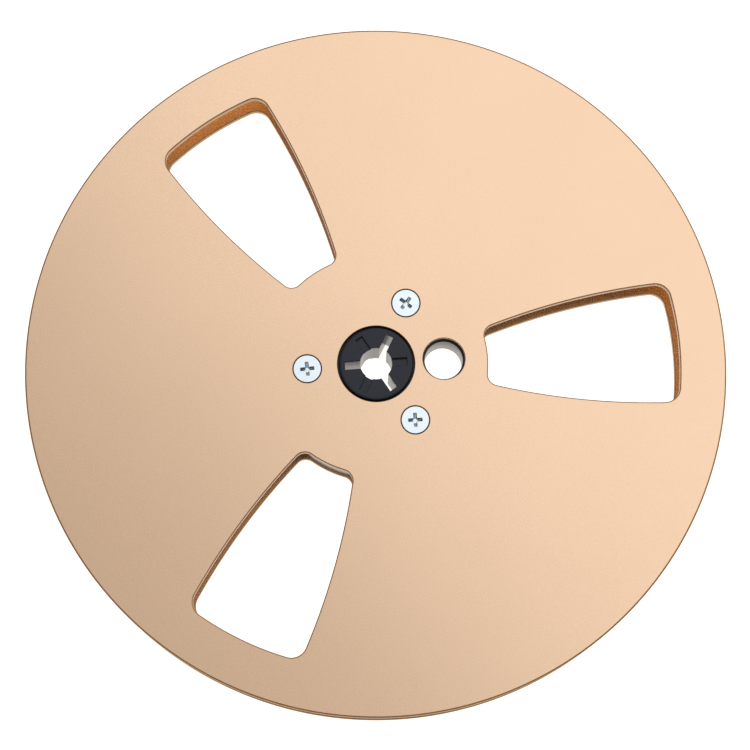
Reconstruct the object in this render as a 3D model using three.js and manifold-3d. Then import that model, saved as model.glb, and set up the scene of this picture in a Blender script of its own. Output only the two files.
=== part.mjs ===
// Seven-inch open reel for quarter-inch recording tape: two windowed aluminium flanges
// screwed to a black plastic hub whose centre takes a three-splined deck spindle.
// Units are millimetres. +Z is the reel's axis, pointing out of the front flange, and +X
// passes through the finger hole and the first window. The origin is on the axis, in the
// plane of the hub's rear seat, so that the reel lies flat on XY.

import * as THREE from "three";
import { mergeVertices } from "three/addons/utils/BufferGeometryUtils.js";
import Module from "manifold-3d";

// ---- Driving dimensions -----------------------------------------------------------------

// Bearings, in degrees from +X, of the screws and of the slots in the hub's centre.
const THIRDS = [60, 180, 300];

const REEL_RADIUS = 88.9;
const FLANGE_THICKNESS = 2.0;
const FLANGE_SPACING = 8.6; // clear width between the flanges, for tape 6.3 wide
const SEAT_RISE = 0.25; // how far the hub's seats stand proud of the flanges
const RIM_CHAMFER = 0.3;
const HUB_OPENING_RADIUS = 9.8;

// Windows: the sides are shallow arcs that bow outwards between the two concentric arcs.
const WINDOW_COUNT = 3;
const WINDOW_OUTER_RADIUS = 77.15;
const WINDOW_INNER_RADIUS = 28.45;
const WINDOW_OUTER_HALF_ANGLE = 11.56; // degrees, to the outer corner before rounding
const WINDOW_INNER_HALF_ANGLE = 14.2; // degrees, to the inner corner before rounding
const WINDOW_SIDE_BOW = 1.73;
const WINDOW_OUTER_FILLET = 3.9;
const WINDOW_INNER_FILLET = 2.8;

// Finger hole: wider in the flanges than in the hub, which shows as a narrow ledge.
const FINGER_HOLE_OFFSET = 17.25;
const FINGER_HOLE_FLANGE_RADIUS = 5.35;
const FINGER_HOLE_HUB_RADIUS = 4.85;

const HUB_RADIUS = 28.0;
const SEAT_RADIUS = 9.35;
const SEAT_CHAMFER = 0.5;
const BORE_RADIUS = 4.05;
const BORE_CHAMFER = 0.4;
const SPLINE_WIDTH = 2.05;
const SPLINE_REACH = 7.9; // from the axis to a slot's closed end
const KEYWAY_DEPTH = 1.2; // blind slots that a locked spindle cap drops into
const KEYWAY_TURN = 60; // degrees from each through slot to the next keyway
const TAPE_SLIT_WIDTH = 1.0;
const TAPE_SLIT_DEPTH = 6.5;
const TAPE_SLIT_BEARING = -7; // degrees round the hub to the slit's mouth
const TAPE_SLIT_LEAN = 50; // degrees between the slit and the radius at its mouth

// Screws: countersunk, cross-recessed, 3.5 nominal, the same on both sides.
const SCREW_CIRCLE_RADIUS = 17.5;
const SCREW_HEAD_RADIUS = 3.5;
const SCREW_HEAD_EDGE = 0.3; // straight rim above the cone
const SCREW_SHANK_RADIUS = 1.5;
const SCREW_LENGTH = 6.0;
const SCREW_POINT = 0.6; // length and taper of the blunt end
const RECESS_RADIUS = 1.8;
const RECESS_ARMS = [0, 90, 180, 270];
const RECESS_FLOOR_RADIUS = 0.55;
const RECESS_WIDTH = 0.85;
const RECESS_DEPTH = 1.7;
const FRONT_RECESS_TURNS = [48, 2, -1]; // degrees, as the screws happened to stop
const REAR_RECESS_TURNS = [20, 65, -25];

const CLEARANCE = 0.15; // round a screw, in its countersink and pilot hole
const FACE_GAP = 0.05; // between the hub's shoulders and the flanges
const OVERCUT = 1.0; // how far a cutter runs past the material it cuts

const RIM_SEGMENTS = 144;
const HUB_SEGMENTS = 96;
const HOLE_SEGMENTS = 40;
const SMALL_SEGMENTS = 24;
const WINDOW_ARC_DIVISIONS = 4;

// ---- Heights that follow ----------------------------------------------------------------

const REAR_FLANGE_Z = SEAT_RISE;
const SHOULDER_Z = REAR_FLANGE_Z + FLANGE_THICKNESS;
const FRONT_FLANGE_Z = SHOULDER_Z + FLANGE_SPACING;
const FRONT_FACE_Z = FRONT_FLANGE_Z + FLANGE_THICKNESS;
const REEL_HEIGHT = FRONT_FACE_Z + SEAT_RISE;
const MIDDLE_Z = REEL_HEIGHT / 2;

// ---- Materials --------------------------------------------------------------------------

const goldAnodised = new THREE.MeshStandardMaterial({ color: 0xe6c5a6, roughness: 0.4, metalness: 1 });
const blackPlastic = new THREE.MeshStandardMaterial({ color: 0x2b2f34, roughness: 0.35, metalness: 0 });
const zincPlate = new THREE.MeshStandardMaterial({ color: 0xdfe6ec, roughness: 0.25, metalness: 1 });

// ---- Solids -----------------------------------------------------------------------------

const wasm = await Module();
wasm.setup();

const radians = THREE.MathUtils.degToRad;

function solidFrom(geometry) {
  geometry.deleteAttribute("normal");
  geometry.deleteAttribute("uv");
  const merged = mergeVertices(geometry);
  const vertProperties = new Float32Array(merged.getAttribute("position").array);
  const triVerts = new Uint32Array(merged.getIndex().array);
  return new wasm.Manifold(new wasm.Mesh({ numProp: 3, vertProperties, triVerts }));
}

function geometryFrom(solid) {
  const mesh = solid.getMesh();
  const geometry = new THREE.BufferGeometry();
  geometry.setAttribute("position", new THREE.BufferAttribute(mesh.vertProperties, 3));
  geometry.setIndex(new THREE.BufferAttribute(mesh.triVerts, 1));
  geometry.computeVertexNormals();
  return geometry;
}

// A solid of revolution about Z. The profile is [radius, z] pairs from the axis at the
// bottom, round the outside, to the axis at the top.
function turned(profile, segments, x = 0, y = 0) {
  const points = profile.map(([radius, z]) => new THREE.Vector2(radius, z));
  const geometry = new THREE.LatheGeometry(points, segments);
  geometry.rotateX(Math.PI / 2);
  geometry.translate(x, y, 0);
  return solidFrom(geometry);
}

function cylinder(radius, bottom, top, segments, x = 0, y = 0) {
  return turned([[0, bottom], [radius, bottom], [radius, top], [0, top]], segments, x, y);
}

// A bar that starts on the axis and runs out along a bearing.
function radialBar(width, reach, bottom, top, bearing) {
  const geometry = new THREE.BoxGeometry(reach, width, top - bottom);
  geometry.translate(reach / 2, 0, (top + bottom) / 2);
  geometry.rotateZ(radians(bearing));
  return solidFrom(geometry);
}

function onCircle(radius, bearing) {
  return [radius * Math.cos(radians(bearing)), radius * Math.sin(radians(bearing))];
}

// ---- Windows ----------------------------------------------------------------------------

// The meeting point of two circles, one centred on the origin and one at `centre`, that
// lies to the left of the line from the origin to `centre`.
function circlesMeet(radius, centre, otherRadius) {
  const distance = centre.length();
  const along = (radius ** 2 - otherRadius ** 2 + distance ** 2) / (2 * distance);
  const aside = Math.sqrt(radius ** 2 - along ** 2);
  const direction = centre.clone().normalize();
  const left = new THREE.Vector2(-direction.y, direction.x);
  return direction.multiplyScalar(along).addScaledVector(left, aside);
}

// One window's outline, drawn counter-clockwise and symmetric about +X. The upper half is
// worked out, and the lower half mirrors it.
function windowShape() {
  const outerCorner = new THREE.Vector2(...onCircle(WINDOW_OUTER_RADIUS, WINDOW_OUTER_HALF_ANGLE));
  const innerCorner = new THREE.Vector2(...onCircle(WINDOW_INNER_RADIUS, WINDOW_INNER_HALF_ANGLE));
  const side = outerCorner.clone().sub(innerCorner);
  const sideRadius = (side.length() ** 2 / 4 + WINDOW_SIDE_BOW ** 2) / (2 * WINDOW_SIDE_BOW);
  const outward = new THREE.Vector2(-side.y, side.x).normalize();
  const sideCentre = outerCorner.clone().add(innerCorner).multiplyScalar(0.5);
  sideCentre.addScaledVector(outward, WINDOW_SIDE_BOW - sideRadius);

  // Each fillet's centre lies where the two arcs that it joins would meet if both moved in
  // by the fillet's radius.
  const outerFillet = circlesMeet(
    WINDOW_OUTER_RADIUS - WINDOW_OUTER_FILLET, sideCentre, sideRadius - WINDOW_OUTER_FILLET);
  const innerFillet = circlesMeet(
    WINDOW_INNER_RADIUS + WINDOW_INNER_FILLET, sideCentre, sideRadius - WINDOW_INNER_FILLET);

  const outerTurn = outerFillet.angle();
  const sideStart = outerFillet.clone().sub(sideCentre).angle();
  const sideEnd = innerFillet.clone().sub(sideCentre).angle();
  const innerTurn = innerFillet.angle();

  const shape = new THREE.Shape();
  shape.absarc(0, 0, WINDOW_OUTER_RADIUS, -outerTurn, outerTurn);
  shape.absarc(outerFillet.x, outerFillet.y, WINDOW_OUTER_FILLET, outerTurn, sideStart);
  shape.absarc(sideCentre.x, sideCentre.y, sideRadius, sideStart, sideEnd);
  shape.absarc(innerFillet.x, innerFillet.y, WINDOW_INNER_FILLET, sideEnd, innerTurn + Math.PI);
  shape.absarc(0, 0, WINDOW_INNER_RADIUS, innerTurn, -innerTurn, true);
  shape.absarc(innerFillet.x, -innerFillet.y, WINDOW_INNER_FILLET, Math.PI - innerTurn, -sideEnd);
  shape.absarc(sideCentre.x, -sideCentre.y, sideRadius, -sideEnd, -sideStart);
  shape.absarc(outerFillet.x, -outerFillet.y, WINDOW_OUTER_FILLET, -sideStart, -outerTurn);
  return shape;
}

function windowCutters() {
  const options = {
    depth: FLANGE_THICKNESS + 2 * OVERCUT,
    bevelEnabled: false,
    curveSegments: WINDOW_ARC_DIVISIONS,
  };
  return Array.from({ length: WINDOW_COUNT }, (_, index) => {
    const geometry = new THREE.ExtrudeGeometry(windowShape(), options);
    geometry.translate(0, 0, -OVERCUT);
    geometry.rotateZ((2 * Math.PI * index) / WINDOW_COUNT);
    return solidFrom(geometry);
  });
}

// ---- Sub-parts --------------------------------------------------------------------------

// A flange with its inner face on z = 0 and its outer face up. The two flanges are the same
// part: the rear one is turned over.
function flangeSolid() {
  const top = FLANGE_THICKNESS;
  const rim = REEL_RADIUS - RIM_CHAMFER;
  const disc = turned([
    [0, 0],
    [rim, 0],
    [REEL_RADIUS, RIM_CHAMFER],
    [REEL_RADIUS, top - RIM_CHAMFER],
    [rim, top],
    [0, top],
  ], RIM_SEGMENTS);

  const countersink = SCREW_HEAD_RADIUS + CLEARANCE;
  const coneTop = top - SCREW_HEAD_EDGE;
  const throat = countersink - coneTop; // a 90 degree cone that ends at the inner face
  const screwHoles = THIRDS.map((bearing) => turned([
    [0, -OVERCUT],
    [throat, -OVERCUT],
    [throat, 0],
    [countersink, coneTop],
    [countersink, top + OVERCUT],
    [0, top + OVERCUT],
  ], HOLE_SEGMENTS, ...onCircle(SCREW_CIRCLE_RADIUS, bearing)));

  const through = [-OVERCUT, top + OVERCUT];
  const cutters = [
    ...windowCutters(),
    ...screwHoles,
    cylinder(HUB_OPENING_RADIUS, ...through, HUB_SEGMENTS),
    cylinder(FINGER_HOLE_FLANGE_RADIUS, ...through, HOLE_SEGMENTS, FINGER_HOLE_OFFSET),
  ];
  return cutters.reduce((solid, cutter) => solid.subtract(cutter), disc);
}

// The hub, in the reel's own frame: a drum between the flanges with a seat at each end that
// stands through the flange's opening.
function hubSolid() {
  const lowShoulder = SHOULDER_Z + FACE_GAP;
  const highShoulder = FRONT_FLANGE_Z - FACE_GAP;
  const seatFace = SEAT_RADIUS - SEAT_CHAMFER;
  const body = turned([
    [0, 0],
    [seatFace, 0],
    [SEAT_RADIUS, SEAT_CHAMFER],
    [SEAT_RADIUS, lowShoulder],
    [HUB_RADIUS, lowShoulder],
    [HUB_RADIUS, highShoulder],
    [SEAT_RADIUS, highShoulder],
    [SEAT_RADIUS, REEL_HEIGHT - SEAT_CHAMFER],
    [seatFace, REEL_HEIGHT],
    [0, REEL_HEIGHT],
  ], HUB_SEGMENTS);

  const through = [-OVERCUT, REEL_HEIGHT + OVERCUT];
  const boreMouth = BORE_RADIUS + BORE_CHAMFER + OVERCUT;
  const bore = turned([
    [0, -OVERCUT],
    [boreMouth, -OVERCUT],
    [BORE_RADIUS, BORE_CHAMFER],
    [BORE_RADIUS, REEL_HEIGHT - BORE_CHAMFER],
    [boreMouth, REEL_HEIGHT + OVERCUT],
    [0, REEL_HEIGHT + OVERCUT],
  ], HOLE_SEGMENTS);

  const pilot = SCREW_SHANK_RADIUS + CLEARANCE;
  const mouth = SCREW_HEAD_EDGE + CLEARANCE; // countersink that clears the screw's cone
  const pilotHoles = THIRDS.map((bearing) => turned([
    [0, lowShoulder - mouth],
    [pilot + 2 * mouth, lowShoulder - mouth],
    [pilot, lowShoulder + mouth],
    [pilot, highShoulder - mouth],
    [pilot + 2 * mouth, highShoulder + mouth],
    [0, highShoulder + mouth],
  ], SMALL_SEGMENTS, ...onCircle(SCREW_CIRCLE_RADIUS, bearing)));

  const splineSlots = THIRDS.map((bearing) =>
    radialBar(SPLINE_WIDTH, SPLINE_REACH, ...through, bearing));
  const keywayFloor = REEL_HEIGHT - KEYWAY_DEPTH;
  const keyways = THIRDS.flatMap((bearing) => [
    radialBar(SPLINE_WIDTH, SPLINE_REACH, -OVERCUT, KEYWAY_DEPTH, bearing + KEYWAY_TURN),
    radialBar(SPLINE_WIDTH, SPLINE_REACH, keywayFloor, through[1], bearing + KEYWAY_TURN),
  ]);

  const cutters = [
    bore,
    ...splineSlots,
    ...keyways,
    ...pilotHoles,
    cylinder(FINGER_HOLE_HUB_RADIUS, ...through, HOLE_SEGMENTS, FINGER_HOLE_OFFSET),
    tapeSlit(),
  ];
  return cutters.reduce((solid, cutter) => solid.subtract(cutter), body);
}

// A narrow slit, as tall as the drum, that takes the end of the tape.
function tapeSlit() {
  const length = TAPE_SLIT_DEPTH + 2 * OVERCUT;
  const geometry = new THREE.BoxGeometry(length, TAPE_SLIT_WIDTH, REEL_HEIGHT);
  geometry.translate(length / 2 - TAPE_SLIT_DEPTH, 0, MIDDLE_Z);
  geometry.rotateZ(radians(TAPE_SLIT_LEAN));
  geometry.translate(HUB_RADIUS, 0, 0);
  geometry.rotateZ(radians(TAPE_SLIT_BEARING));
  return solidFrom(geometry);
}

// A countersunk screw with the top of its head on z = 0 and its point down.
function screwSolid() {
  const coneEnd = -(SCREW_HEAD_EDGE + SCREW_HEAD_RADIUS - SCREW_SHANK_RADIUS);
  const body = turned([
    [0, -SCREW_LENGTH],
    [SCREW_SHANK_RADIUS - SCREW_POINT, -SCREW_LENGTH],
    [SCREW_SHANK_RADIUS, SCREW_POINT - SCREW_LENGTH],
    [SCREW_SHANK_RADIUS, coneEnd],
    [SCREW_HEAD_RADIUS, -SCREW_HEAD_EDGE],
    [SCREW_HEAD_RADIUS, 0],
    [0, 0],
  ], HOLE_SEGMENTS);

  // The cross is two bars, tapered towards the floor by the cone that they are cut from.
  const bars = RECESS_ARMS
    .map((bearing) => radialBar(RECESS_WIDTH, SCREW_HEAD_RADIUS, -SCREW_HEAD_RADIUS, OVERCUT, bearing))
    .reduce((solid, bar) => solid.add(bar));
  const cone = turned([
    [0, -RECESS_DEPTH],
    [RECESS_FLOOR_RADIUS, -RECESS_DEPTH],
    [RECESS_RADIUS, 0],
    [RECESS_RADIUS, OVERCUT],
    [0, OVERCUT],
  ], SMALL_SEGMENTS);
  return body.subtract(bars.intersect(cone));
}

// ---- Assembly ---------------------------------------------------------------------------

function named(name, geometry, material) {
  const mesh = new THREE.Mesh(geometry, material);
  mesh.name = name;
  return mesh;
}

const reel = new THREE.Group();

const flangeGeometry = geometryFrom(flangeSolid());
const frontFlange = named("front_flange", flangeGeometry, goldAnodised);
frontFlange.position.z = FRONT_FLANGE_Z;
const rearFlange = named("rear_flange", flangeGeometry, goldAnodised);
rearFlange.rotation.x = Math.PI;
rearFlange.position.z = SHOULDER_Z;
const hub = named("hub", geometryFrom(hubSolid()), blackPlastic);
reel.add(frontFlange, rearFlange, hub);

const screwGeometry = geometryFrom(screwSolid());
THIRDS.forEach((bearing, index) => {
  const [x, y] = onCircle(SCREW_CIRCLE_RADIUS, bearing);
  const front = named(`front_screw_${index + 1}`, screwGeometry, zincPlate);
  front.position.set(x, y, FRONT_FACE_Z);
  front.rotation.z = radians(FRONT_RECESS_TURNS[index]);
  const rear = named(`rear_screw_${index + 1}`, screwGeometry, zincPlate);
  rear.position.set(x, y, REAR_FLANGE_Z);
  rear.rotation.set(Math.PI, 0, radians(REAR_RECESS_TURNS[index]));
  reel.add(front, rear);
});

export default reel;
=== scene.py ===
"""Seven-inch open tape reel: two gold-anodised flanges screwed to a black plastic hub.

Metres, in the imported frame: +Z is the reel's axis and points out of the front flange, and +X
passes through the finger hole and the first window. Outer sizes and places come from the
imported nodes' boxes. Finer ones are named below.
"""

import math

import bmesh
import bpy
from mathutils import Matrix, Vector


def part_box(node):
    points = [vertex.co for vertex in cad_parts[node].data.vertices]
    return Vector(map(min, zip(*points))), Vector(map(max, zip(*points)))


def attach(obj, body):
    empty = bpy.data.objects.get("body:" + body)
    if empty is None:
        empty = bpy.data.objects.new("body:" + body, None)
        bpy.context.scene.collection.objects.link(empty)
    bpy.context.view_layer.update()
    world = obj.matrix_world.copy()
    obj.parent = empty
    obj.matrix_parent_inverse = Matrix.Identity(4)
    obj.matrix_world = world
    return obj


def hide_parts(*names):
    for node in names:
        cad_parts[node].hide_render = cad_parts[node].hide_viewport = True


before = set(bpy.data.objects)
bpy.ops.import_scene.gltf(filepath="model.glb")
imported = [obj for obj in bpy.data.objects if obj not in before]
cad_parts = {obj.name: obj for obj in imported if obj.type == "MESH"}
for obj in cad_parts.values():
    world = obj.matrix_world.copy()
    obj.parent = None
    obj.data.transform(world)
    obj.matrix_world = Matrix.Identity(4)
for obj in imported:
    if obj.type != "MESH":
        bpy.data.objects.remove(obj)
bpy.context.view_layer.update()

MM = 0.001

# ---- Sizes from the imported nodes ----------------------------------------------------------

FRONT_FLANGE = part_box("front_flange")
REAR_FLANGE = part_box("rear_flange")
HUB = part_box("hub")
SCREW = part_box("front_screw_1")

REEL_RADIUS = (FRONT_FLANGE[1].x - FRONT_FLANGE[0].x) / 2
HUB_RADIUS = (HUB[1].x - HUB[0].x) / 2
REEL_HEIGHT = HUB[1].z
SCREW_LENGTH = SCREW[1].z - SCREW[0].z
SCREW_HEAD_RADIUS = (SCREW[1].x - SCREW[0].x) / 2

# ---- Finer sizes ----------------------------------------------------------------------------

THIRDS = (60, 180, 300)  # bearings of the screws and through slots, in degrees from +X

FLANGE_EDGE = 0.45 * MM
HUB_OPENING_RADIUS = 9.8 * MM
WINDOW_BEARINGS = (0, 120, 240)
WINDOW_OUTER_RADIUS = 77.15 * MM
WINDOW_INNER_RADIUS = 28.45 * MM
WINDOW_OUTER_HALF_ANGLE = math.radians(11.56)
WINDOW_INNER_HALF_ANGLE = math.radians(14.2)
WINDOW_SIDE_BOW = 1.73 * MM
WINDOW_OUTER_FILLET = 3.9 * MM
WINDOW_INNER_FILLET = 2.8 * MM
WINDOW_EDGE = 0.3 * MM
HOLE_EDGE = 0.15 * MM
FINGER_HOLE = (17.25 * MM, 0.0)
FINGER_HOLE_FLANGE_RADIUS = 5.35 * MM
FINGER_HOLE_HUB_RADIUS = 4.85 * MM

FACE_GAP = 0.05 * MM  # between the hub's shoulders and the flanges
SEAT_RADIUS = 9.35 * MM
SEAT_EDGE = 0.5 * MM
DRUM_EDGE = 0.15 * MM
BORE_RADIUS = 4.05 * MM
SLOT_WIDTH = 2.05 * MM
SLOT_REACH = 7.9 * MM
SLOT_EDGE = 0.12 * MM  # also the hub's edge round the finger hole
PILOT_EDGE = 0.3 * MM
KEYWAY_DEPTH = 1.2 * MM
TAPE_SLIT_WIDTH = 1.0 * MM
TAPE_SLIT_DEPTH = 6.5 * MM
TAPE_SLIT_BEARING = math.radians(-7)
TAPE_SLIT_LEAN = math.radians(50)

SCREW_CIRCLE_RADIUS = 17.5 * MM
SCREW_CLEARANCE = 0.15 * MM
HEAD_SIDE = 0.3 * MM  # straight rim above the head's 90 degree cone
HEAD_EDGE = 0.1 * MM
CREST_RADIUS = 1.5 * MM
ROOT_RADIUS = 1.15 * MM
THREAD_PITCH = 1.3 * MM
THREAD_STEEPNESS = 3.2  # how fast the ridge falls away, in its own heights for each pitch
THREAD_FADE = 0.25  # share of the shank below the head where the ridge grows to its full height
SCREW_POINT = 0.6 * MM
FRONT_RECESS_TURNS = (48, 2, -1)  # degrees, as the screws happened to stop
REAR_RECESS_TURNS = (20, 65, -25)
RECESS_EDGE = 0.05 * MM
RECESS_REACH = (1.8 * MM, 0.6 * MM)  # at the head's face and at the recess's floor
RECESS_WIDTH = (0.85 * MM, 0.5 * MM)
RECESS_DEPTH = 1.7 * MM
RECESS_CORNER = 0.12 * MM

# ---- How finely curves are divided ------------------------------------------------------------

EDGE_STEPS = 4  # faces round each broken edge
RIM_STEPS = 360
SEAT_STEPS = 144  # also the flanges' opening round it
DRUM_STEPS = 192
FINGER_HOLE_STEPS = 96
SCREW_STEPS = 72  # also the countersink round it
PILOT_STEPS = 36
WINDOW_OUTER_STEPS = 16
WINDOW_OUTER_FILLET_STEPS = 16
WINDOW_SIDE_STEPS = 40
WINDOW_INNER_FILLET_STEPS = 14
WINDOW_INNER_STEPS = 8
SLOT_SIDE_STEPS = 3
LAND_STEPS = 10  # of the bore, between two slots
RECESS_TIP_STEPS = 4
THREAD_STEPS = 28  # down the shank

# ---- Outlines -------------------------------------------------------------------------------
#
# An outline is a function of how far it grows, so that one function gives every ring of a wall
# and of its broken edges. It returns points counter-clockwise.


def arc(centre, radius, start, end, steps):
    """Points along an arc, both ends included."""
    angles = [start + (end - start) * step / steps for step in range(steps + 1)]
    return [(centre[0] + radius * math.cos(a), centre[1] + radius * math.sin(a)) for a in angles]


def line(start, end, steps):
    """Points along a line, both ends included."""
    return [tuple(Vector(start).lerp(Vector(end), step / steps)) for step in range(steps + 1)]


def turned(points, angle):
    cosine, sine = math.cos(angle), math.sin(angle)
    return [(x * cosine - y * sine, x * sine + y * cosine) for x, y in points]


def on_circle(radius, degrees):
    return (radius * math.cos(math.radians(degrees)), radius * math.sin(math.radians(degrees)))


def circle(radius, steps, centre=(0.0, 0.0)):
    return lambda grow: arc(centre, radius + grow, 0, 2 * math.pi, steps)[:-1]


def bearing(vector):
    return math.atan2(vector.y, vector.x) % (2 * math.pi)


def circles_meet(radius, centre, other_radius):
    """Where a circle round the origin meets another, to the left of the line to its centre."""
    distance = centre.length
    along = (radius**2 - other_radius**2 + distance**2) / (2 * distance)
    aside = math.sqrt(radius**2 - along**2)
    direction = centre.normalized()
    return direction * along + Vector((-direction.y, direction.x)) * aside


def window(degrees):
    """A flange window: two concentric arcs joined by sides that bow outwards, with round corners."""
    outer = Vector((math.cos(WINDOW_OUTER_HALF_ANGLE), math.sin(WINDOW_OUTER_HALF_ANGLE)))
    inner = Vector((math.cos(WINDOW_INNER_HALF_ANGLE), math.sin(WINDOW_INNER_HALF_ANGLE)))
    outer *= WINDOW_OUTER_RADIUS
    inner *= WINDOW_INNER_RADIUS
    side = outer - inner
    side_radius = (side.length_squared / 4 + WINDOW_SIDE_BOW**2) / (2 * WINDOW_SIDE_BOW)
    outward = Vector((-side.y, side.x)).normalized()
    side_centre = (outer + inner) / 2 + outward * (WINDOW_SIDE_BOW - side_radius)
    outer_fillet = circles_meet(
        WINDOW_OUTER_RADIUS - WINDOW_OUTER_FILLET, side_centre, side_radius - WINDOW_OUTER_FILLET)
    inner_fillet = circles_meet(
        WINDOW_INNER_RADIUS + WINDOW_INNER_FILLET, side_centre, side_radius - WINDOW_INNER_FILLET)
    outer_turn, inner_turn = bearing(outer_fillet), bearing(inner_fillet)
    side_start = bearing(outer_fillet - side_centre)
    side_end = bearing(inner_fillet - side_centre)

    def outline(grow):
        half = arc((0, 0), WINDOW_OUTER_RADIUS + grow, 0, outer_turn, WINDOW_OUTER_STEPS)
        half += arc(
            outer_fillet, WINDOW_OUTER_FILLET + grow, outer_turn, side_start,
            WINDOW_OUTER_FILLET_STEPS)[1:]
        half += arc(side_centre, side_radius + grow, side_start, side_end, WINDOW_SIDE_STEPS)[1:]
        half += arc(
            inner_fillet, WINDOW_INNER_FILLET + grow, side_end, inner_turn + math.pi,
            WINDOW_INNER_FILLET_STEPS)[1:]
        half += arc((0, 0), WINDOW_INNER_RADIUS - grow, inner_turn, 0, WINDOW_INNER_STEPS)[1:]
        mirrored = [(x, -y) for x, y in reversed(half[1:-1])]
        return turned(half + mirrored, math.radians(degrees))

    return outline


def splined_bore(keyed):
    """The bore with its three through slots and, where keyed, the three blind keyways too.

    The points pair up between the two forms: the plain one has a stretch of the bore's own
    circle where the keyed one has a keyway.
    """

    def outline(grow):
        radius, reach, aside = BORE_RADIUS + grow, SLOT_REACH + grow, SLOT_WIDTH / 2 + grow
        mouth = math.asin(aside / radius)
        start = radius * math.cos(mouth)
        slot = line((start, -aside), (reach, -aside), SLOT_SIDE_STEPS)
        slot += line((reach, -aside), (reach, aside), SLOT_SIDE_STEPS)[1:]
        slot += line((reach, aside), (start, aside), SLOT_SIDE_STEPS)[1:]
        closed = arc((0, 0), radius, -mouth, mouth, len(slot) - 1)
        land = arc((0, 0), radius, mouth, math.pi / 3 - mouth, LAND_STEPS)[1:-1]
        points = []
        for sixth in range(6):
            through = sixth % 2 == 1
            points += turned((slot if through or keyed else closed) + land, sixth * math.pi / 3)
        return points

    return outline


def drum_rim(grow):
    """The hub's outer circle, cut by the slit that takes the end of the tape."""
    aside = TAPE_SLIT_WIDTH / 2 - grow
    mouth = Vector((HUB_RADIUS, 0))
    lean = Vector((math.cos(TAPE_SLIT_LEAN), math.sin(TAPE_SLIT_LEAN)))
    across = Vector((-lean.y, lean.x))
    floor = mouth - lean * (TAPE_SLIT_DEPTH - grow)

    def lip(side):
        start = mouth + across * side
        inwards = start.dot(lean)
        reach = math.sqrt(inwards**2 - start.length_squared + (HUB_RADIUS + grow) ** 2)
        return start + lean * (reach - inwards)

    ends = bearing(lip(aside)), bearing(lip(-aside))
    points = arc((0, 0), HUB_RADIUS + grow, *ends, DRUM_STEPS)
    points += [tuple(floor - across * aside), tuple(floor + across * aside)]
    return turned(points, TAPE_SLIT_BEARING)


def cross(share):
    """A screw's cross recess, at a share of the way down to its floor."""
    reach = RECESS_REACH[0] + (RECESS_REACH[1] - RECESS_REACH[0]) * share
    aside = (RECESS_WIDTH[0] + (RECESS_WIDTH[1] - RECESS_WIDTH[0]) * share) / 2

    def outline(grow):
        tip = math.asin((aside + grow) / (reach + grow))
        root = aside + grow + RECESS_CORNER * (1 - share / 2)
        end = arc((0, 0), reach + grow, -tip, tip, RECESS_TIP_STEPS)
        arm = [(root, -aside - grow), *end, (root, aside + grow)]
        return [point for quarter in range(4) for point in turned(arm, quarter * math.pi / 2)]

    return outline


# ---- Walls and faces ------------------------------------------------------------------------

FACES, WALLS = 0, 1  # a piece's materials: its flat faces' and its walls'
SHARP_ANGLE = math.radians(40)
WELD_DISTANCE = 1e-7  # metres


def broken_edge(face, inwards, size):
    """(grow, height) pairs round a broken edge, from the face at height `face` to the wall.

    `inwards` is +1 or -1, the way into the material. A positive size is for an opening's edge
    and a negative one for a rim's.
    """
    angles = [math.pi / 2 * step / EDGE_STEPS for step in range(EDGE_STEPS + 1)]
    return [
        (size * (1 - math.sin(a)), face + inwards * abs(size) * (1 - math.cos(a))) for a in angles]


def between(low, high, size):
    """The profile of a wall from one face to the other, with both its edges broken."""
    return broken_edge(low, 1, size) + broken_edge(high, -1, size)[::-1]


def ring(mesh, points, height):
    return [mesh.verts.new((x, y, height)) for x, y in points]


def skin(mesh, lower, upper):
    for index in range(len(lower)):
        face = mesh.faces.new((lower[index - 1], lower[index], upper[index], upper[index - 1]))
        face.smooth = True
        face.material_index = WALLS


def wall(mesh, outline, profile):
    """Skins an outline along (grow, height) pairs, and returns its first and last rings."""
    rings = [ring(mesh, outline(grow), height) for grow, height in profile]
    for lower, upper in zip(rings, rings[1:]):
        skin(mesh, lower, upper)
    return rings[0], rings[-1]


def cap(mesh, *rings):
    """Fills the flat face between an outer ring and the openings in it."""
    edges = [mesh.edges.get((loop[i - 1], loop[i])) for loop in rings for i in range(len(loop))]
    filled = bmesh.ops.triangle_fill(mesh, use_beauty=True, normal=(0, 0, 1), edges=edges)["geom"]
    for face in filled:
        if isinstance(face, bmesh.types.BMFace):
            face.smooth = False
            face.material_index = FACES


def piece(name, mesh, materials, place=Matrix()):
    """Turns a finished bmesh into a piece that stands for the CAD node of the same name."""
    bmesh.ops.remove_doubles(mesh, verts=mesh.verts, dist=WELD_DISTANCE)
    bmesh.ops.recalc_face_normals(mesh, faces=mesh.faces)
    for edge in mesh.edges:
        edge.smooth = edge.calc_face_angle() < SHARP_ANGLE
    data = bpy.data.meshes.new(f"{name}_fine")
    mesh.to_mesh(data)
    mesh.free()
    for material in materials:
        data.materials.append(material)
    made = bpy.data.objects.new(f"{name}_fine", data)
    made.matrix_world = place
    bpy.context.scene.collection.objects.link(made)
    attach(made, "root")
    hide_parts(name)


# ---- Pieces ---------------------------------------------------------------------------------


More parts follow.
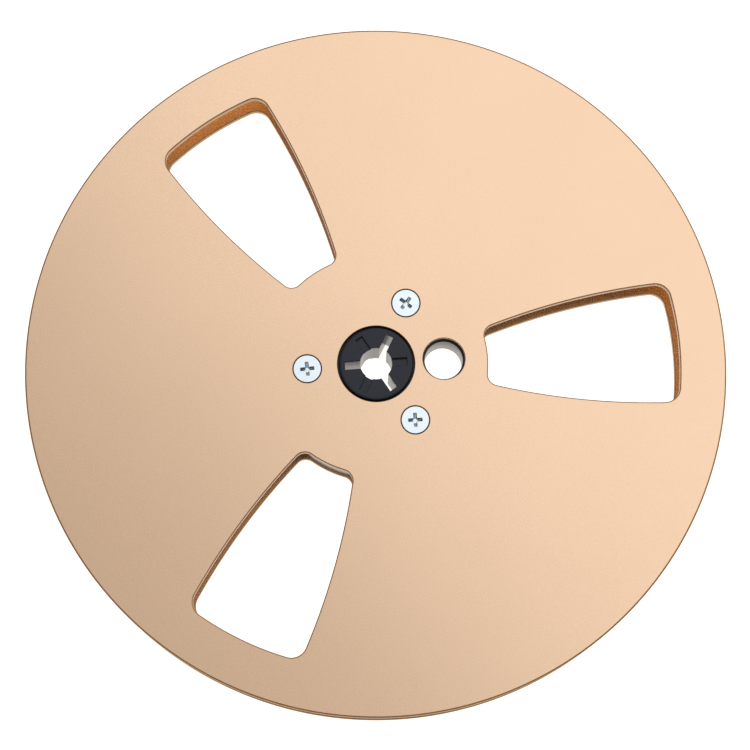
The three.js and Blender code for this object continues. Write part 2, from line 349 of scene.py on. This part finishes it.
def flange(name, inner, outer, materials):
    """A flange. The rear one is the same part turned over, and the part is symmetric about X."""
    out = 1 if outer > inner else -1
    low, high = min(inner, outer), max(inner, outer)
    mesh = bmesh.new()
    walls = [wall(mesh, circle(REEL_RADIUS, RIM_STEPS), between(low, high, -FLANGE_EDGE))]
    windows = [window(degrees) for degrees in WINDOW_BEARINGS]
    holes = [
        circle(HUB_OPENING_RADIUS, SEAT_STEPS),
        circle(FINGER_HOLE_FLANGE_RADIUS, FINGER_HOLE_STEPS, FINGER_HOLE),
    ]
    walls += [wall(mesh, outline, between(low, high, WINDOW_EDGE)) for outline in windows]
    walls += [wall(mesh, outline, between(low, high, HOLE_EDGE)) for outline in holes]
    countersink = SCREW_HEAD_RADIUS + SCREW_CLEARANCE
    cone = high - low - HEAD_SIDE
    profile = [(-cone, inner), (0, outer - out * HEAD_SIDE)]
    profile += broken_edge(outer, -out, HOLE_EDGE)[::-1]
    for degrees in THIRDS:
        hole = circle(countersink, SCREW_STEPS, on_circle(SCREW_CIRCLE_RADIUS, degrees))
        walls.append(wall(mesh, hole, profile)[::out])
    for rings in zip(*walls):
        cap(mesh, *rings)
    piece(name, mesh, materials)


def hub(materials):
    """A drum between the flanges, with a seat at each end and a splined bore through it all."""
    shoulders = (REAR_FLANGE[1].z + FACE_GAP, FRONT_FLANGE[0].z - FACE_GAP)
    ends = (0.0, REEL_HEIGHT)
    mesh = bmesh.new()
    finger_hole = circle(FINGER_HOLE_HUB_RADIUS, FINGER_HOLE_STEPS, FINGER_HOLE)
    walls = [
        wall(mesh, drum_rim, between(*shoulders, -DRUM_EDGE)),
        wall(mesh, finger_hole, between(*shoulders, SLOT_EDGE)),
    ]
    for degrees in THIRDS:
        centre = on_circle(SCREW_CIRCLE_RADIUS, degrees)
        pilot = circle(CREST_RADIUS + SCREW_CLEARANCE, PILOT_STEPS, centre)
        walls.append(wall(mesh, pilot, between(*shoulders, PILOT_EDGE)))
    keyed, plain = splined_bore(True), splined_bore(False)
    floors = []
    for end, shoulder, inwards, rims in zip(ends, shoulders, (1, -1), zip(*walls)):
        floor = end + inwards * KEYWAY_DEPTH
        side = [(0, shoulder), *broken_edge(end, inwards, -SEAT_EDGE)[::-1]]
        foot, lip = wall(mesh, circle(SEAT_RADIUS, SEAT_STEPS), side)
        cap(mesh, foot, *rims)
        mouth, keyway = wall(mesh, keyed, [*broken_edge(end, inwards, SLOT_EDGE), (0, floor)])
        cap(mesh, lip, mouth)
        floors.append(ring(mesh, plain(0), floor))
        skin(mesh, keyway, floors[-1])
    skin(mesh, *floors)
    piece("hub", mesh, materials)


def thread_radius(angle, height, taper):
    """The shank's radius: a ridge that climbs one pitch in each turn, as high as `taper` allows."""
    phase = (height / THREAD_PITCH - angle / (2 * math.pi)) % 1
    ridge = max(0.0, 1 - abs(phase - 0.5) * THREAD_STEEPNESS)
    return ROOT_RADIUS + (CREST_RADIUS - ROOT_RADIUS) * ridge * taper


def screw(name, turn, out, materials):
    """A countersunk screw with a cross recess, its head's face on z = 0 and its point down."""
    mesh = bmesh.new()
    cone_end = SCREW_HEAD_RADIUS - CREST_RADIUS
    head = circle(SCREW_HEAD_RADIUS, SCREW_STEPS)
    profile = [*broken_edge(0, -1, -HEAD_EDGE), (0, -HEAD_SIDE), (-cone_end, -HEAD_SIDE - cone_end)]
    face, shank = wall(mesh, head, profile)

    mouth, below = wall(mesh, cross(0), broken_edge(0, -1, RECESS_EDGE))
    cap(mesh, face, mouth)
    for share in (0.5, 1):
        deeper = ring(mesh, cross(share)(0), -RECESS_EDGE - (RECESS_DEPTH - RECESS_EDGE) * share)
        skin(mesh, below, deeper)
        below = deeper
    cap(mesh, below)

    top, bottom = -HEAD_SIDE - cone_end, SCREW_POINT - SCREW_LENGTH
    for step in range(1, THREAD_STEPS + 1):
        height = top + (bottom - top) * step / THREAD_STEPS
        taper = min(1.0, step / THREAD_STEPS / THREAD_FADE)
        points = []
        for index in range(SCREW_STEPS):
            angle = 2 * math.pi * index / SCREW_STEPS
            radius = thread_radius(angle, height, taper)
            points.append((radius * math.cos(angle), radius * math.sin(angle)))
        lower = ring(mesh, points, height)
        skin(mesh, shank, lower)
        shank = lower
    tip = ring(mesh, circle(CREST_RADIUS - SCREW_POINT, SCREW_STEPS)(0), -SCREW_LENGTH)
    skin(mesh, shank, tip)
    cap(mesh, tip)

    low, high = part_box(name)
    seat = high.z if out > 0 else low.z
    place = Matrix.Translation(((low.x + high.x) / 2, (low.y + high.y) / 2, seat))
    if out < 0:
        place = place @ Matrix.Rotation(math.pi, 4, "X")
    place = place @ Matrix.Rotation(math.radians(turn), 4, "Z")
    piece(name, mesh, materials, place)


# ---- Materials ------------------------------------------------------------------------------

NOISE_RANGE = (0.3, 0.7)  # nearly all of a noise pattern's values lie in it
RELIEF = 0.01 * MM  # depth of every bump pattern at full strength


def shader_of(name):
    material = bpy.data.materials.new(name)
    material.use_nodes = True
    return material, material.node_tree, material.node_tree.nodes["Principled BSDF"]


def noise(tree, size):
    """A noise pattern whose blotches are about `size` metres across, from 0 to 1."""
    place = tree.nodes.new("ShaderNodeTexCoord")
    texture = tree.nodes.new("ShaderNodeTexNoise")
    texture.inputs["Scale"].default_value = 1 / size
    texture.inputs["Detail"].default_value = 2.0
    tree.links.new(place.outputs["Object"], texture.inputs["Vector"])
    return texture.outputs["Fac"]


def ranged(tree, value, low, high):
    node = tree.nodes.new("ShaderNodeMapRange")
    node.inputs["From Min"].default_value = NOISE_RANGE[0]
    node.inputs["From Max"].default_value = NOISE_RANGE[1]
    node.inputs["To Min"].default_value = low
    node.inputs["To Max"].default_value = high
    tree.links.new(value, node.inputs["Value"])
    return node.outputs["Result"]


def tinted(tree, value, first, second):
    node = tree.nodes.new("ShaderNodeMix")
    node.data_type = "RGBA"
    node.inputs["A"].default_value = (*first, 1)
    node.inputs["B"].default_value = (*second, 1)
    tree.links.new(ranged(tree, value, 0, 1), node.inputs["Factor"])
    return node.outputs["Result"]


def bumped(tree, height, strength):
    """Relief from a height pattern."""
    node = tree.nodes.new("ShaderNodeBump")
    node.inputs["Distance"].default_value = RELIEF
    node.inputs["Strength"].default_value = strength
    tree.links.new(height, node.inputs["Height"])
    return node.outputs["Normal"]


def gold_anodised():
    """Bead-blasted aluminium under a pale gold anodic film."""
    material, tree, shader = shader_of("gold_anodised")
    shader.inputs["Metallic"].default_value = 1
    colour = tinted(tree, noise(tree, 30 * MM), (0.85, 0.61, 0.345), (0.87, 0.625, 0.355))
    tree.links.new(colour, shader.inputs["Base Color"])
    tree.links.new(ranged(tree, noise(tree, 0.5 * MM), 0.25, 0.29), shader.inputs["Roughness"])
    tree.links.new(bumped(tree, noise(tree, 0.18 * MM), 0.15), shader.inputs["Normal"])
    return material


def gold_painted_shade_wall():
    """The same gold film on the milled walls and edges, with painted shade: its colour is far darker
    than the faces'.
    """
    material, tree, shader = shader_of("gold_painted_shade_wall")
    shader.inputs["Metallic"].default_value = 1
    # Painted shade: this dark brown stands for the shade the flanges' walls lie in.
    colour = tinted(tree, noise(tree, 3 * MM), (0.29, 0.17, 0.07), (0.33, 0.195, 0.08))
    tree.links.new(colour, shader.inputs["Base Color"])
    tree.links.new(ranged(tree, noise(tree, 0.4 * MM), 0.24, 0.32), shader.inputs["Roughness"])
    tree.links.new(bumped(tree, noise(tree, 0.15 * MM), 0.4), shader.inputs["Normal"])
    return material


def black_plastic(name, smoothest, roughest):
    """Black moulded plastic, whose roughness varies between the two values given."""
    material, tree, shader = shader_of(name)
    shader.inputs["IOR"].default_value = 1.47
    colour = tinted(tree, noise(tree, 4 * MM), (0.001, 0.004, 0.004), (0.002, 0.006, 0.006))
    tree.links.new(colour, shader.inputs["Base Color"])
    roughness = ranged(tree, noise(tree, 0.6 * MM), smoothest, roughest)
    tree.links.new(roughness, shader.inputs["Roughness"])
    tree.links.new(bumped(tree, noise(tree, 0.25 * MM), 0.3), shader.inputs["Normal"])
    return material


def zinc_plate(name, first, second):
    """Zinc plate, whose colour varies between the two given."""
    material, tree, shader = shader_of(name)
    shader.inputs["Metallic"].default_value = 1
    colour = tinted(tree, noise(tree, 1.5 * MM), first, second)
    tree.links.new(colour, shader.inputs["Base Color"])
    tree.links.new(ranged(tree, noise(tree, 0.4 * MM), 0.12, 0.2), shader.inputs["Roughness"])
    tree.links.new(bumped(tree, noise(tree, 0.2 * MM), 0.3), shader.inputs["Normal"])
    return material


# ---- Stage ----------------------------------------------------------------------------------

FLOOR_RADIUS = 4.0
CAMERA_AIM = Vector((-0.51 * MM, -2.90 * MM, FRONT_FLANGE[1].z))
CAMERA_AZIMUTH = math.radians(-6.90)
CAMERA_ELEVATION = math.radians(78.69)
CAMERA_TOP = math.radians(85.6)  # the bearing on the reel that is at the top of the picture
CAMERA_DISTANCE = 571.5 * MM
CAMERA_LENS = 108.4  # millimetres, on the standard 36 mm sensor

FLOOR_STEPS = 96
FLOOR_DROP = 0.05 * MM  # keeps the floor from sharing a plane with the rear seat
FLOOR_BASE = (0.5, 0.5, 0.5, 1)
FLOOR_ROUGHNESS = 0.9
FLOOR_GLOW = (1, 0.94, 0.875, 1)  # lit from below, like a light table
FLOOR_GLOW_STRENGTH = 1.1
WORLD_COLOUR = (0.90, 0.853, 1, 1)
WORLD_STRENGTH = 0.642
KEY_PLACE = (0.545, 0.425, 1.0)
KEY_SIZE = 1.47
KEY_POWER = 5.17
KEY_COLOUR = (0.749, 0.78, 1.0)


def add_camera():
    level = math.cos(CAMERA_ELEVATION)
    back = Vector((
        math.sin(CAMERA_AZIMUTH) * level, -math.cos(CAMERA_AZIMUTH) * level, math.sin(CAMERA_ELEVATION)))
    right = Vector((math.cos(CAMERA_TOP), math.sin(CAMERA_TOP), 0)).cross(back).normalized()
    data = bpy.data.cameras.new("camera")
    data.lens = CAMERA_LENS
    camera = bpy.data.objects.new("camera", data)
    turn = Matrix((right, back.cross(right), back)).transposed()
    camera.matrix_world = Matrix.Translation(CAMERA_AIM + back * CAMERA_DISTANCE) @ turn.to_4x4()
    bpy.context.scene.collection.objects.link(camera)
    bpy.context.scene.camera = camera


def add_floor():
    mesh = bmesh.new()
    bmesh.ops.create_circle(mesh, cap_ends=True, segments=FLOOR_STEPS, radius=FLOOR_RADIUS)
    data = bpy.data.meshes.new("floor")
    mesh.to_mesh(data)
    mesh.free()
    material, tree, shader = shader_of("pale_floor")
    shader.inputs["Base Color"].default_value = FLOOR_BASE
    shader.inputs["Roughness"].default_value = FLOOR_ROUGHNESS
    shader.inputs["Emission Color"].default_value = FLOOR_GLOW
    shader.inputs["Emission Strength"].default_value = FLOOR_GLOW_STRENGTH
    data.materials.append(material)
    floor = bpy.data.objects.new("floor", data)
    floor.location.z = -FLOOR_DROP
    bpy.context.scene.collection.objects.link(floor)


def softbox(name, place, size, power, colour):
    """A square area light that faces the reel."""
    data = bpy.data.lights.new(name, "AREA")
    data.size = size
    data.color = colour
    data.energy = power
    light = bpy.data.objects.new(name, data)
    light.location = place
    light.rotation_euler = Vector(place).to_track_quat("Z", "Y").to_euler()
    bpy.context.scene.collection.objects.link(light)


def add_lights():
    world = bpy.data.worlds.new("studio")
    world.use_nodes = True
    background = world.node_tree.nodes["Background"]
    background.inputs["Color"].default_value = WORLD_COLOUR
    background.inputs["Strength"].default_value = WORLD_STRENGTH
    bpy.context.scene.world = world
    softbox("key", KEY_PLACE, KEY_SIZE, KEY_POWER, KEY_COLOUR)


# ---- Scene ----------------------------------------------------------------------------------

bpy.context.scene.view_settings.view_transform = "Standard"
add_camera()
add_floor()
add_lights()

# Each pair is the finish of a piece's flat faces, then that of its walls. The hub's walls were
# drawn off the mould's core and are smoother. The gold and zinc walls carry painted shade: their
# colour is darker than the faces' to stand for the shade in walls, recesses and threads.
gold = (gold_anodised(), gold_painted_shade_wall())
black = (
    black_plastic("black_plastic", 0.26, 0.34),
    black_plastic("black_plastic_drawn", 0.22, 0.28),
)
zinc = (
    zinc_plate("zinc_plate", (0.73, 0.84, 0.75), (0.80, 0.86, 0.74)),
    # Painted shade: the walls' darker zinc stands for the shade in the cross recesses, under the heads
    # and on the threads.
    zinc_plate("zinc_plate_painted_shade", (0.46, 0.55, 0.56), (0.52, 0.58, 0.55)),
)
flange("front_flange", FRONT_FLANGE[0].z, FRONT_FLANGE[1].z, gold)
flange("rear_flange", REAR_FLANGE[1].z, REAR_FLANGE[0].z, gold)
hub(black)
for number, (front_turn, rear_turn) in enumerate(zip(FRONT_RECESS_TURNS, REAR_RECESS_TURNS), 1):
    screw(f"front_screw_{number}", front_turn, 1, zinc)
    screw(f"rear_screw_{number}", rear_turn, -1, zinc)

bpy.context.view_layer.update()
